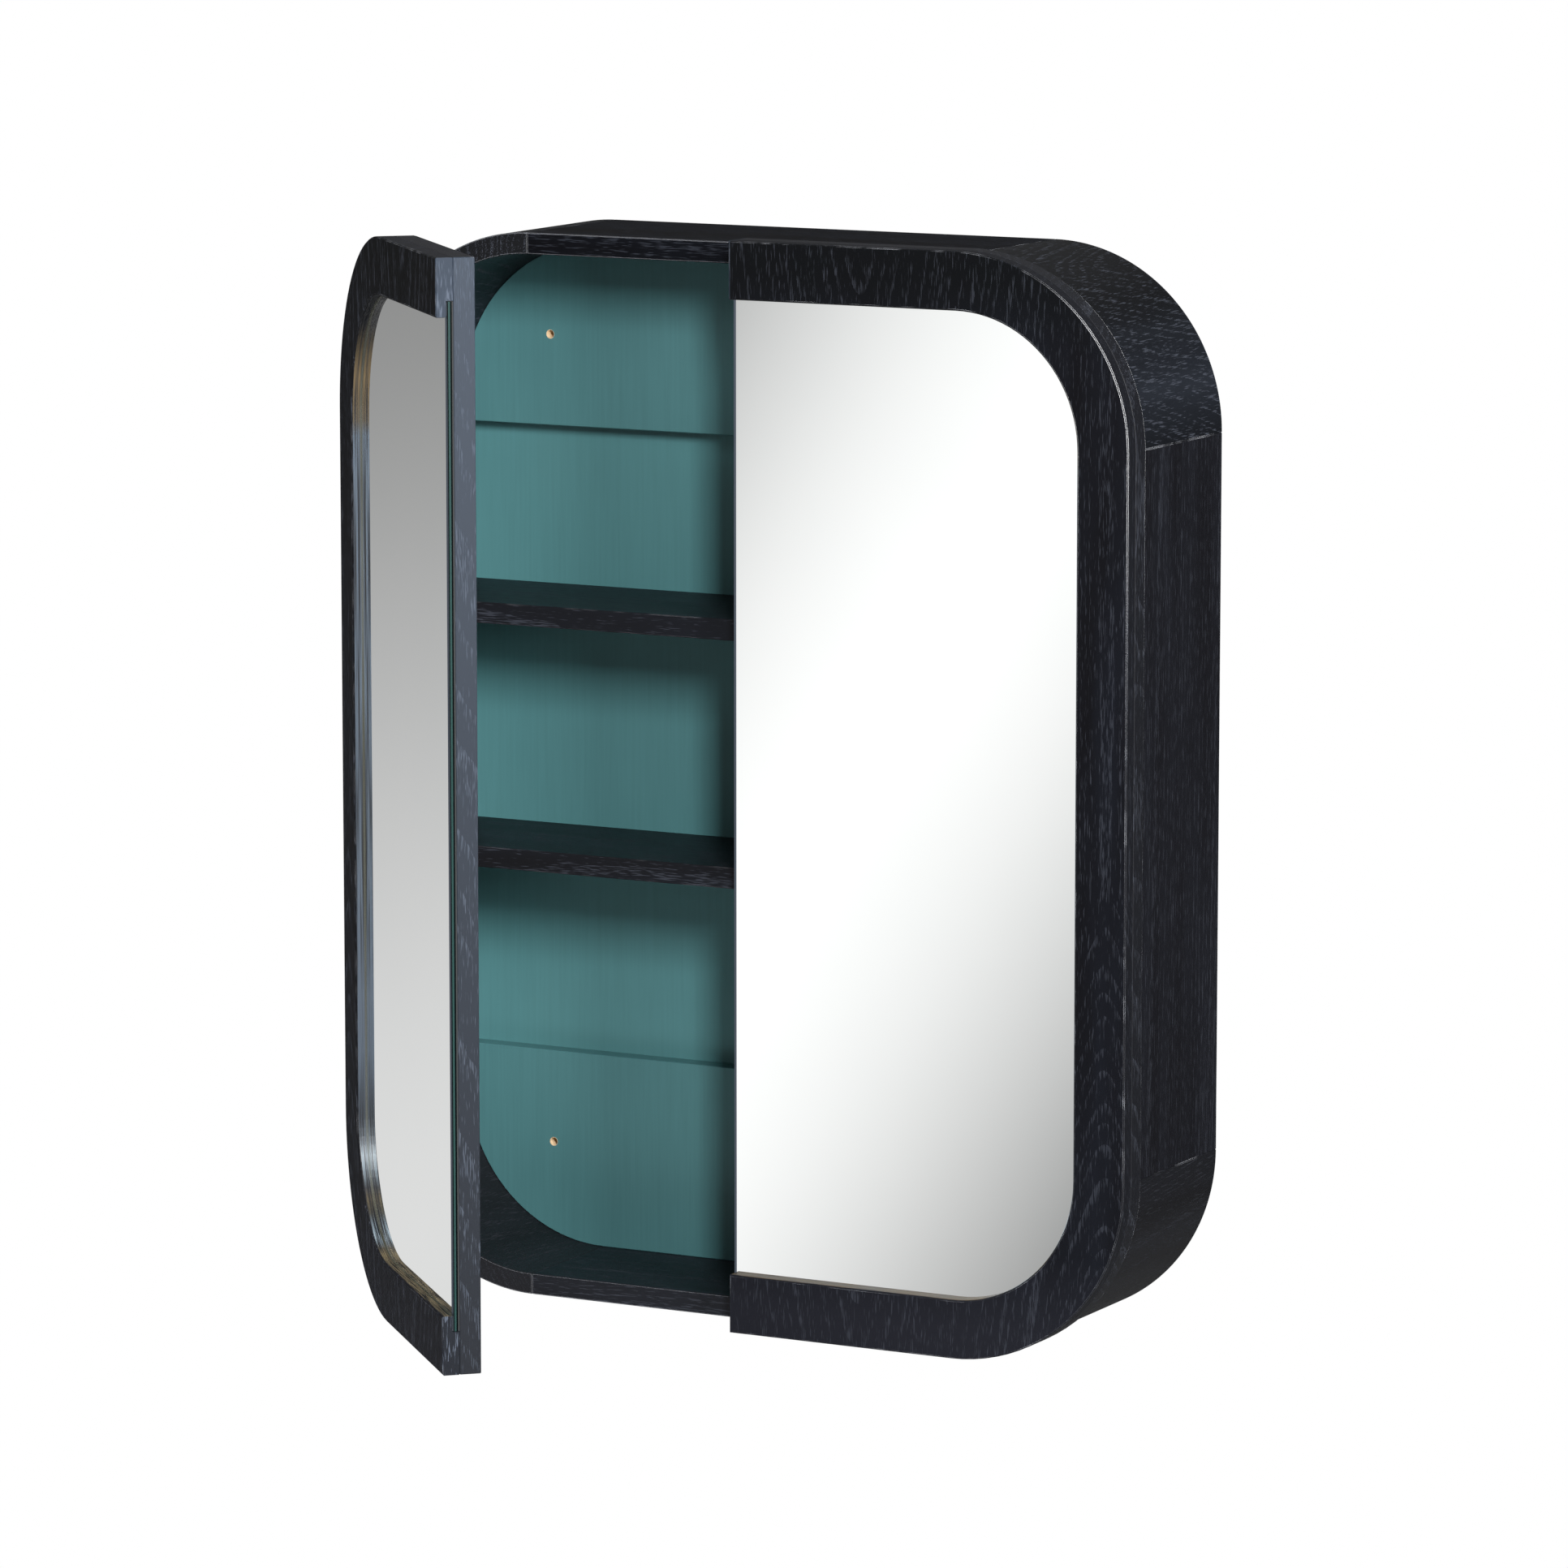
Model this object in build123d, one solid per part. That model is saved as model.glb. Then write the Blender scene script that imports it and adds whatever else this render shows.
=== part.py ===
"""Wall-hung medicine cabinet with two mirrored doors and rounded corners.

Frame: X to the right, Y into the wall (front is -Y), Z up, millimetres.
The back of the cabinet lies in y = 0, and z = 0 is at mid height.
The doors are drawn shut, then the left one is turned open about its hinge pins.
"""
import os
from build123d import *

os.makedirs("parts", exist_ok=True)

# Whole cabinet
DOOR_WIDTH_BOTH = 610.0
DOOR_HEIGHT = 762.0
DOOR_RADIUS = 131.0
OVERHANG = 3.5
CARCASS_DEPTH = 126.0
BOARD = 15.0
BREAK_EDGE = 0.5
DOWEL_R = 3.0
DOWEL_LENGTH = 28.0
DOWEL_INSET = 35.0

# Back, rails and wall holes
BACK_THICK = 8.0
BACK_LAP = 8.0
BACK_SCREW_LENGTH = 24.0
BACK_SCREW_R = 1.5
BACK_SCREW_HEAD_R = 3.0
RAIL_THICK = 15.0
UPPER_RAIL_HEIGHT = 131.5
LOWER_RAIL_HEIGHT = 140.5
RAIL_SCREW_EDGE = 30.0
RAIL_SCREW_LENGTH = 18.0
WALL_HOLE_R = 3.0
WALL_HOLE_INSET = 87.0
UPPER_HOLE_DROP = 81.5
LOWER_HOLE_RISE = 88.5

# Shelves: levels are shares of the inside half height
SHELF_THICK = 15.0
UPPER_SHELF_LEVEL = 0.3194
LOWER_SHELF_LEVEL = -0.1608
SHELF_SETBACK = 1.0
SHELF_PLAY = 0.4
PEG_R = 2.5
PEG_SINK = 9.0
PEG_INSET = 26.0
TONGUE_REACH = 10.0
TONGUE_WIDTH = 9.0
TONGUE_THICK = 1.5

# Doors
DOOR_GAP = 3.0
MEETING_GAP = 3.0
DOOR_BACK_THICK = 15.0
FRAME_THICK = 12.0
STILE = 38.0
TOP_RAIL = 40.0
BOTTOM_RAIL = 41.0
WINDOW_RADIUS = 92.0
REBATE = 11.0
REBATE_DEPTH = 5.0
GLASS_THICK = 4.0
GLASS_PLAY = 0.5
FRONT_BREAK = 0.8
SCREW_R = 1.75
SCREW_HEAD_R = 3.5
FRAME_SCREW_LENGTH = 23.0
FRAME_SCREW_INSET = 14.0
BUMPER_R = 4.0
BUMPER_THICK = 2.5
BUMPER_INSET = 40.0
LEFT_OPEN_DEG = 46.5

# Hinges
HINGE_FROM_CORNER = 50.0
PIN_INSET = 7.0
PIN_DEPTH = 9.0
PIN_R = 1.5
PIN_PLAY = 0.05
PIN_HALF = 8.2
EAR_IN = 6.5
EAR_SIZE = 12.0
BUSH_R = 2.3
EYE_R = 3.0
EYE_HALF = 4.0
ARM_THICK = 2.5
ARM_LENGTH = 54.0
ARM_WIDTH = 16.0
ARM_ROUND = 3.5
HOOK_ROUND = 2.2
CUP_CENTRE = 20.0
CUP_R = 17.5
CUP_DEPTH = 13.0
CUP_WALL = 0.7
FLANGE = 1.2
FLANGE_WIDTH = 15.0
FLANGE_HEIGHT = 58.0
FLANGE_ROUND = 6.0
CUP_SCREW_REACH = 23.0
CUP_SCREW_LENGTH = 13.0
CUP_SCREW_R = 1.6
CUP_SCREW_HEAD_R = 3.2
PLATE_THICK = 3.5
PLATE_SETBACK = 37.0
PLATE_LENGTH = 36.0
PLATE_HEIGHT = 18.0
WING_WIDTH = 13.0
WING_HEIGHT = 44.0
WING_ROUND = 5.0
PLATE_SCREW_REACH = 16.0
PLATE_SCREW_LENGTH = 14.0
PLATE_SCREW_R = 2.0
PLATE_SCREW_HEAD_R = 4.0
BOLT_R = 2.0
BOLT_HEAD_R = 3.6
BOLT_HEAD = 1.8
BOLT_REACH = 11.0

# Places that follow from the sizes
CARCASS_WIDTH = DOOR_WIDTH_BOTH - 2 * OVERHANG
CARCASS_HEIGHT = DOOR_HEIGHT - 2 * OVERHANG
CARCASS_RADIUS = DOOR_RADIUS - OVERHANG
HALF_W = CARCASS_WIDTH / 2
HALF_H = CARCASS_HEIGHT / 2
FLAT_X = HALF_W - CARCASS_RADIUS
FLAT_Z = HALF_H - CARCASS_RADIUS
INNER_X = HALF_W - BOARD
INNER_Z = HALF_H - BOARD
UPPER_RAIL_BOTTOM = INNER_Z - UPPER_RAIL_HEIGHT
LOWER_RAIL_TOP = -INNER_Z + LOWER_RAIL_HEIGHT
WALL_HOLE_X = HALF_W - WALL_HOLE_INSET
WALL_HOLE_Z = (HALF_H - UPPER_HOLE_DROP, -HALF_H + LOWER_HOLE_RISE)
SHELF_TOPS = (UPPER_SHELF_LEVEL * INNER_Z, LOWER_SHELF_LEVEL * INNER_Z)
SHELF_FRONT = CARCASS_DEPTH - SHELF_SETBACK
DOOR_BACK_Y = CARCASS_DEPTH + DOOR_GAP
SEAM_Y = DOOR_BACK_Y + DOOR_BACK_THICK
DOOR_EDGE = DOOR_WIDTH_BOTH / 2
DOOR_TOP = DOOR_HEIGHT / 2
DOOR_FLAT = DOOR_EDGE - DOOR_RADIUS
HINGE_Z = (FLAT_Z - HINGE_FROM_CORNER, -FLAT_Z + HINGE_FROM_CORNER)
PIN_X = DOOR_EDGE - PIN_INSET
PIN_Y = -(DOOR_BACK_Y + PIN_DEPTH)

FROM_START = (Align.CENTER, Align.CENTER, Align.MIN)
FORWARD = Rot(90, 0, 0)
BACKWARD = Rot(-90, 0, 0)
RIGHTWARD = Rot(0, 90, 0)
LEFTWARD = Rot(0, -90, 0)
UPWARD = Rot(0, 0, 0)


def slab(outline, start, depth):
    """An XZ outline given depth towards the front, from start millimetres off the wall."""
    return extrude(Plane.XZ.offset(start) * outline, depth)


def rod(x, y, z, radius, length, turn):
    """A round bar that starts at x, y, z and runs the way that turn takes +Z."""
    return Pos(x, y, z) * turn * Cylinder(radius, length, align=FROM_START)


def screw_room(x, y, z, turn, length, shank_r, head_r):
    """The room that a countersunk screw takes up, with its flat head at x, y, z."""
    head = Cone(head_r, shank_r, head_r - shank_r, align=FROM_START)
    shank = Cylinder(shank_r, length, align=FROM_START)
    return Pos(x, y, z) * turn * (head + shank)


def screw(x, y, z, turn, length, shank_r, head_r):
    """A countersunk screw with a cross cut in its head."""
    bar = Box(head_r * 1.1, head_r * 0.3, head_r * 0.28, align=FROM_START)
    cross = Pos(x, y, z) * turn * (bar + Rot(0, 0, 90) * bar)
    return screw_room(x, y, z, turn, length, shank_r, head_r) - cross


nodes = {}

# Back panel, let into a rebate round the carcass
back_inset = BOARD - BACK_LAP
back_outline = RectangleRounded(
    CARCASS_WIDTH - 2 * back_inset, CARCASS_HEIGHT - 2 * back_inset, CARCASS_RADIUS - back_inset
)
back = slab(back_outline, 0, BACK_THICK)

# Wall screw holes, through the rails and the back
wall_holes = []
hole_length = BACK_THICK + RAIL_THICK + 2 * BOARD
for hole_z in WALL_HOLE_Z:
    for hole_x in (-WALL_HOLE_X, WALL_HOLE_X):
        wall_holes.append(rod(hole_x, BOARD, hole_z, WALL_HOLE_R, hole_length, FORWARD))

# Screws that hold the back panel in its rebate, one into each carcass piece
lap_mid = BOARD - BACK_LAP / 2
corner_mid = (CARCASS_RADIUS - lap_mid) * 0.70710678
back_spots = [(0, HALF_H - lap_mid), (0, -HALF_H + lap_mid), (HALF_W - lap_mid, 0), (-HALF_W + lap_mid, 0)]
for side_x in (-1, 1):
    for side_z in (-1, 1):
        back_spots.append((side_x * (FLAT_X + corner_mid), side_z * (FLAT_Z + corner_mid)))
back_fit = (FORWARD, BACK_SCREW_LENGTH, BACK_SCREW_R, BACK_SCREW_HEAD_R)
back_screws = [screw(x, 0, z, *back_fit) for x, z in back_spots]
back_screw_room = [screw_room(x, 0, z, *back_fit) for x, z in back_spots]

# Screws from behind into the two hanging rails
rail_spots = []
for spot_z in (
    UPPER_RAIL_BOTTOM + RAIL_SCREW_EDGE,
    INNER_Z - RAIL_SCREW_EDGE,
    LOWER_RAIL_TOP - RAIL_SCREW_EDGE,
    -INNER_Z + RAIL_SCREW_EDGE,
):
    for side_x in (-1, 1):
        rail_spots.append((side_x * FLAT_X * 0.55, spot_z))
rail_fit = (FORWARD, RAIL_SCREW_LENGTH, SCREW_R, SCREW_HEAD_R)
rail_screws = [screw(x, 0, z, *rail_fit) for x, z in rail_spots]
rail_screw_room = [screw_room(x, 0, z, *rail_fit) for x, z in rail_spots]

# Dowels across the eight butt joints between straight panels and corner blocks
dowels = []
half_dowel = DOWEL_LENGTH / 2
for side_z in (-1, 1):
    for side_x in (-1, 1):
        for dowel_y in (-DOWEL_INSET, -CARCASS_DEPTH + DOWEL_INSET):
            level_at = (side_x * FLAT_X - half_dowel, dowel_y, side_z * (HALF_H - BOARD / 2))
            upright_at = (side_x * (HALF_W - BOARD / 2), dowel_y, side_z * FLAT_Z - half_dowel)
            dowels.append(rod(*level_at, DOWEL_R, DOWEL_LENGTH, RIGHTWARD))
            dowels.append(rod(*upright_at, DOWEL_R, DOWEL_LENGTH, UPWARD))

# Shelf pins: a peg in the side panel with a flat tongue under the shelf
pins = []
peg_room = []
for top in SHELF_TOPS:
    under = top - SHELF_THICK
    peg_z = under - PEG_R
    for side in (-1, 1):
        for pin_y in (-BACK_THICK - PEG_INSET, -CARCASS_DEPTH + PEG_INSET):
            turn = LEFTWARD if side < 0 else RIGHTWARD
            tongue = Box(TONGUE_REACH, TONGUE_WIDTH, TONGUE_THICK)
            tongue = Pos(side * (INNER_X - TONGUE_REACH / 2), pin_y, under - TONGUE_THICK / 2) * tongue
            collar_x = side * (INNER_X - TONGUE_THICK / 2)
            collar = Pos(collar_x, pin_y, peg_z) * Box(TONGUE_THICK, TONGUE_WIDTH, 2 * PEG_R)
            peg = rod(collar_x, pin_y, peg_z, PEG_R, PEG_SINK + TONGUE_THICK / 2, turn)
            pins.append(peg + tongue + collar)
            peg_room.append(rod(side * INNER_X, pin_y, peg_z, PEG_R, PEG_SINK, turn))

# Screws that hold the hinge plates on the side panels
plate_y = -(CARCASS_DEPTH - PLATE_SETBACK)
plate_screws = []
plate_screw_room = []
for side in (-1, 1):
    turn = LEFTWARD if side < 0 else RIGHTWARD
    plate_fit = (turn, PLATE_SCREW_LENGTH, PLATE_SCREW_R, PLATE_SCREW_HEAD_R)
    for hinge_z in HINGE_Z:
        for step in (-PLATE_SCREW_REACH, PLATE_SCREW_REACH):
            spot = (side * (INNER_X - PLATE_THICK), plate_y, hinge_z + step)
            plate_screws.append(screw(*spot, *plate_fit))
            plate_screw_room.append(screw_room(*spot, *plate_fit))

# Carcass: four straight panels and four quarter-round corner blocks
ring = Circle(CARCASS_RADIUS) - Circle(CARCASS_RADIUS - BOARD)
outlines = {
    "top_panel": Pos(0, HALF_H - BOARD / 2) * Rectangle(2 * FLAT_X, BOARD),
    "bottom_panel": Pos(0, -HALF_H + BOARD / 2) * Rectangle(2 * FLAT_X, BOARD),
    "left_side_panel": Pos(-HALF_W + BOARD / 2, 0) * Rectangle(BOARD, 2 * FLAT_Z),
    "right_side_panel": Pos(HALF_W - BOARD / 2, 0) * Rectangle(BOARD, 2 * FLAT_Z),
}
for word_z, side_z in (("upper", 1), ("lower", -1)):
    for word_x, side_x in (("left", -1), ("right", 1)):
        square = Rectangle(CARCASS_RADIUS, CARCASS_RADIUS)
        quarter = Pos(side_x * CARCASS_RADIUS / 2, side_z * CARCASS_RADIUS / 2) * square
        outlines[word_z + "_" + word_x + "_corner"] = Pos(side_x * FLAT_X, side_z * FLAT_Z) * (ring & quarter)
for name, outline in outlines.items():
    piece = slab(outline, 0, CARCASS_DEPTH)
    piece = chamfer(piece.edges(), BREAK_EDGE)
    piece = piece - back - back_screw_room - dowels
    if "side" in name:
        piece = piece - peg_room - plate_screw_room
    nodes[name] = piece

nodes["back_panel"] = back - wall_holes - back_screw_room - rail_screw_room

# Hanging rails, shaped to the inside of the carcass
inside = RectangleRounded(2 * INNER_X, 2 * INNER_Z, CARCASS_RADIUS - BOARD)
band = Rectangle(CARCASS_WIDTH, CARCASS_HEIGHT)
bands = {
    "upper_hanging_rail": Pos(0, UPPER_RAIL_BOTTOM + HALF_H) * band,
    "lower_hanging_rail": Pos(0, LOWER_RAIL_TOP - HALF_H) * band,
}
for name, reach in bands.items():
    rail = slab(inside & reach, BACK_THICK, RAIL_THICK)
    front = rail.edges().group_by(Axis.Y)[0]
    nodes[name] = chamfer(front, BREAK_EDGE) - wall_holes - rail_screw_room

# Shelves, loose on their pins
for name, top in (("upper_shelf", SHELF_TOPS[0]), ("lower_shelf", SHELF_TOPS[1])):
    board = Pos(0, top - SHELF_THICK / 2) * Rectangle(2 * (INNER_X - SHELF_PLAY), SHELF_THICK)
    shelf = slab(board, BACK_THICK + SHELF_PLAY, SHELF_FRONT - BACK_THICK - SHELF_PLAY)
    nodes[name] = chamfer(shelf.edges(), BREAK_EDGE)

nodes["shelf_pins"] = Compound(pins)
nodes["corner_dowels"] = Compound(dowels)
nodes["back_panel_screws"] = Compound(back_screws)
nodes["rail_screws"] = Compound(rail_screws)

# Hinge plates and cranked arms: each arm reaches into its cup and ends in an eye round the pin
arm_screws = []
arm_inner_x = INNER_X - PLATE_THICK - ARM_THICK
arm_back_y = -(CARCASS_DEPTH - ARM_LENGTH)
for word_x, side in (("left", -1), ("right", 1)):
    outward = LEFTWARD if side < 0 else RIGHTWARD
    inward = RIGHTWARD if side < 0 else LEFTWARD
    plate_x = side * (INNER_X - PLATE_THICK / 2)
    tail_x = side * (arm_inner_x + ARM_THICK / 2)
    for word_z, hinge_z in (("upper", HINGE_Z[0]), ("lower", HINGE_Z[1])):
        body = Pos(plate_x, plate_y, hinge_z) * Box(PLATE_THICK, PLATE_LENGTH, PLATE_HEIGHT)
        wings = Pos(plate_x, plate_y, hinge_z) * Box(PLATE_THICK, WING_WIDTH, WING_HEIGHT)
        wings = fillet(wings.edges().filter_by(Axis.X), WING_ROUND)
        bolts = []
        for bolt_y in (plate_y - BOLT_REACH, plate_y + BOLT_REACH):
            shank = rod(side * arm_inner_x, bolt_y, hinge_z, BOLT_R, PLATE_THICK + ARM_THICK, outward)
            head = rod(side * arm_inner_x, bolt_y, hinge_z, BOLT_HEAD_R, BOLT_HEAD, inward)
            slot_x = side * (arm_inner_x - BOLT_HEAD)
            slot = Pos(slot_x, bolt_y, hinge_z) * Box(BOLT_HEAD, 3 * BOLT_HEAD_R, BOLT_HEAD_R / 3)
            arm_screws.append(shank + (head - slot))
            bolts.append(shank)
        nodes[word_x + "_" + word_z + "_hinge_plate"] = body + wings - bolts - plate_screw_room
        eye = Pos(side * PIN_X, PIN_Y, hinge_z) * Cylinder(EYE_R, 2 * EYE_HALF)
        reach = PIN_X - arm_inner_x
        cross_bar = Pos(side * (PIN_X - reach / 2), PIN_Y, hinge_z) * Box(reach, ARM_THICK, 2 * EYE_HALF)
        neck_len = arm_back_y - PIN_Y + ARM_THICK / 2
        neck = Pos(tail_x, arm_back_y - neck_len / 2, hinge_z) * Box(ARM_THICK, neck_len, 2 * EYE_HALF)
        tail_len = ARM_LENGTH - EYE_HALF * 2
        tail = Pos(tail_x, arm_back_y - tail_len / 2, hinge_z) * Box(ARM_THICK, tail_len, ARM_WIDTH)
        tail = fillet(tail.edges().filter_by(Axis.X), ARM_ROUND)
        hook = cross_bar + neck
        bends = hook.edges().filter_by(Axis.Z).group_by(Axis.Y)[0].sort_by(Axis.X)
        hook = fillet(bends[-1 if side < 0 else 0], HOOK_ROUND)
        bore = Pos(side * PIN_X, PIN_Y, hinge_z) * Cylinder(PIN_R + PIN_PLAY, 4 * EYE_HALF)
        nodes[word_x + "_" + word_z + "_hinge_arm"] = hook + tail + eye - bore - bolts
nodes["hinge_plate_screws"] = Compound(plate_screws)
nodes["hinge_arm_screws"] = Compound(arm_screws)

# One door, drawn shut on the left side
half_plane = Pos(-DOOR_EDGE / 2 - MEETING_GAP / 2, 0) * Rectangle(DOOR_EDGE, 2 * DOOR_HEIGHT)
door_outline = RectangleRounded(DOOR_WIDTH_BOTH, DOOR_HEIGHT, DOOR_RADIUS) & half_plane
window_mid = (BOTTOM_RAIL - TOP_RAIL) / 2
window_w = DOOR_WIDTH_BOTH - 2 * STILE
window_h = DOOR_HEIGHT - TOP_RAIL - BOTTOM_RAIL
window = Pos(0, window_mid) * RectangleRounded(window_w, window_h, WINDOW_RADIUS)
grow = 2 * REBATE
seat = Pos(0, window_mid) * RectangleRounded(window_w + grow, window_h + grow, WINDOW_RADIUS + REBATE)
grow = 2 * (REBATE - GLASS_PLAY)
glass = RectangleRounded(window_w + grow, window_h + grow, WINDOW_RADIUS + REBATE - GLASS_PLAY)
glass = (Pos(0, window_mid) * glass) & half_plane

left = {}
frame = slab(door_outline - window, SEAM_Y, FRAME_THICK)
frame = chamfer(frame.edges().group_by(Axis.Y)[0], FRONT_BREAK)
frame = chamfer(frame.edges().group_by(Axis.Y)[-1], BREAK_EDGE)
frame = frame - slab(seat, SEAM_Y - BOARD, REBATE_DEPTH + BOARD)
door_back = slab(door_outline, DOOR_BACK_Y, DOOR_BACK_THICK)
door_back = chamfer(door_back.edges(), BREAK_EDGE)

# Screws from the door back into the frame
stile_x = -DOOR_EDGE + FRAME_SCREW_INSET
frame_spots = [(stile_x, FLAT_Z * 0.28), (stile_x, -FLAT_Z * 0.28)]
for share in (0.374, 0.89):
    frame_spots.append((-DOOR_FLAT * share, DOOR_TOP - FRAME_SCREW_INSET))
    frame_spots.append((-DOOR_FLAT * share, -DOOR_TOP + FRAME_SCREW_INSET))
frame_fit = (FORWARD, FRAME_SCREW_LENGTH, SCREW_R, SCREW_HEAD_R)
frame_screws = [screw(x, -DOOR_BACK_Y, z, *frame_fit) for x, z in frame_spots]
frame_screw_room = [screw_room(x, -DOOR_BACK_Y, z, *frame_fit) for x, z in frame_spots]

# Hinge cups with their ears, pins, spacers and screws
cup_x = -DOOR_EDGE + CUP_CENTRE
cup_fit = (FORWARD, CUP_SCREW_LENGTH, CUP_SCREW_R, CUP_SCREW_HEAD_R)
cup_room = []
cup_screws = []
cup_screw_room = []
bushes = []
for word_z, hinge_z in (("upper", HINGE_Z[0]), ("lower", HINGE_Z[1])):
    room = rod(cup_x, -DOOR_BACK_Y, hinge_z, CUP_R, CUP_DEPTH, FORWARD)
    hollow_length = 2 * CUP_DEPTH - CUP_WALL
    hollow = rod(cup_x, -DOOR_BACK_Y + CUP_DEPTH, hinge_z, CUP_R - CUP_WALL, hollow_length, FORWARD)
    flange = Pos(cup_x, -DOOR_BACK_Y + FLANGE / 2, hinge_z) * Box(FLANGE_WIDTH, FLANGE, FLANGE_HEIGHT)
    flange = fillet(flange.edges().filter_by(Axis.Y), FLANGE_ROUND)
    pin = Pos(-PIN_X, PIN_Y, hinge_z) * Cylinder(PIN_R, 2 * PIN_HALF)
    block = Box(EAR_SIZE, EAR_SIZE, 2 * PIN_HALF) - Box(EAR_SIZE, EAR_SIZE, 2 * EAR_IN)
    ears = (Pos(-PIN_X, PIN_Y + PIN_PLAY * 20, hinge_z) * block) & room
    half = EYE_HALF + PIN_PLAY
    sleeve = Cylinder(BUSH_R, EAR_IN - half, align=FROM_START) - Cylinder(PIN_R, 2 * PIN_HALF)
    fixing = []
    for step, flip in ((CUP_SCREW_REACH, UPWARD), (-CUP_SCREW_REACH, Rot(180, 0, 0))):
        spot = (cup_x, -DOOR_BACK_Y + FLANGE, hinge_z + step)
        cup_screws.append(screw(*spot, *cup_fit))
        fixing.append(screw_room(*spot, *cup_fit))
        bushes.append(Pos(-PIN_X, PIN_Y, hinge_z) * flip * Pos(0, 0, half) * sleeve)
    cup_room.append(room)
    cup_screw_room += fixing
    left[word_z + "_hinge_cup"] = room + flange - hollow + ears - pin - fixing
    left[word_z + "_hinge_pin"] = pin

# Soft bumpers on the door back
bumpers = []
for bump_z in (HALF_H - BOARD / 2, -HALF_H + BOARD / 2):
    bumpers.append(rod(-BUMPER_INSET, -DOOR_BACK_Y, bump_z, BUMPER_R, BUMPER_THICK, BACKWARD))

left["door_frame"] = frame - frame_screw_room
left["mirror"] = slab(glass, SEAM_Y + REBATE_DEPTH - GLASS_THICK, GLASS_THICK)
left["mirror_backing"] = slab(glass, SEAM_Y, REBATE_DEPTH - GLASS_THICK)
left["door_back"] = door_back - cup_room - cup_screw_room - frame_screw_room
left["hinge_bushes"] = Compound(bushes)
left["cup_screws"] = Compound(cup_screws)
left["frame_screws"] = Compound(frame_screws)
left["bumpers"] = Compound(bumpers)

swing = Pos(-PIN_X, PIN_Y, 0) * Rot(0, 0, -LEFT_OPEN_DEG) * Pos(PIN_X, -PIN_Y, 0)
for name, piece in left.items():
    nodes["right_" + name] = mirror(piece, about=Plane.YZ)
    nodes["left_" + name] = swing * piece

for name, piece in nodes.items():
    export_step(piece, "parts/" + name + ".step")
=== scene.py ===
"""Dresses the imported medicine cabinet: two mirrored doors on a round-cornered wall cabinet.

Everything is in metres, in the frame of the solids: X to the right, Y into the wall, Z up.
"""
import math

import bpy
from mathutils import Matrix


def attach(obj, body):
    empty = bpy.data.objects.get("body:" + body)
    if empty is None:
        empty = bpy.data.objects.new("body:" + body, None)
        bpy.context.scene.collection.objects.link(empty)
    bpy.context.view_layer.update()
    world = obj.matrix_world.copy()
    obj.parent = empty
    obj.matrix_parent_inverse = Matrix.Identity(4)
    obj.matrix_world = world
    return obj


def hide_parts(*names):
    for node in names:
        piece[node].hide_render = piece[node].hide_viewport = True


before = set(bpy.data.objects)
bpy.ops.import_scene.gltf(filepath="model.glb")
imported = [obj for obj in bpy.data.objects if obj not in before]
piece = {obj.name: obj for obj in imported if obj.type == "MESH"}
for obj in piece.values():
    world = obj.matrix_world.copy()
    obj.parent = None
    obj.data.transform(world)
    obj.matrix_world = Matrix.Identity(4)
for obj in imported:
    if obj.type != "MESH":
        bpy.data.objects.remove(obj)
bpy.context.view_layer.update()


# Carcass boards
# Four straight boards and four quarter-round corner blocks of ply, faced with oak veneer that was
# brushed to open its pores and stained blue-black. Dowels and glue hold the butt joints.
MM = 0.001
LEFT_PIN = (-298 * MM, -138 * MM, 0)  # the line that the left door swings about


def linear(hex_colour):
    """An sRGB hex colour as the linear RGBA that a shader takes."""
    shares = [int(hex_colour[at:at + 2], 16) / 255 for at in (1, 3, 5)]
    return [s / 12.92 if s <= 0.04045 else ((s + 0.055) / 1.055) ** 2.4 for s in shares] + [1.0]


def add(tree, kind, inputs=None, **settings):
    """A node with its settings, its plain input values and the links into it."""
    made = tree.nodes.new("ShaderNode" + kind)
    for name, value in settings.items():
        setattr(made, name, value)
    for name, value in (inputs or {}).items():
        if isinstance(value, bpy.types.NodeSocket):
            tree.links.new(value, made.inputs[name])
        else:
            made.inputs[name].default_value = value
    return made


def new_material(name, **sockets):
    """An empty finish with the values that are the same all over set on its shader."""
    material = bpy.data.materials.new(name)
    material.use_nodes = True
    shader = material.node_tree.nodes["Principled BSDF"]
    for socket, value in sockets.items():
        shader.inputs[socket.replace("_", " ")].default_value = value
    return material, material.node_tree, shader


def mottle(tree, shader, scale, detail, tints):
    """Lets a noise move the colour of a finish between two tints, and gives back the noise."""
    noise = {"Vector": add(tree, "TexCoord").outputs["Object"], "Scale": scale, "Detail": detail}
    noise = add(tree, "TexNoise", noise).outputs["Fac"]
    colour = {0: noise, 6: linear(tints[0]), 7: linear(tints[1])}
    colour = add(tree, "Mix", colour, data_type="RGBA").outputs[2]
    tree.links.new(colour, shader.inputs["Base Color"])
    return noise


def finish(material, *names):
    """Puts a finish on solids that keep their own shape."""
    for name in names:
        for slot in piece[name].material_slots:
            slot.material = material


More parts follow.
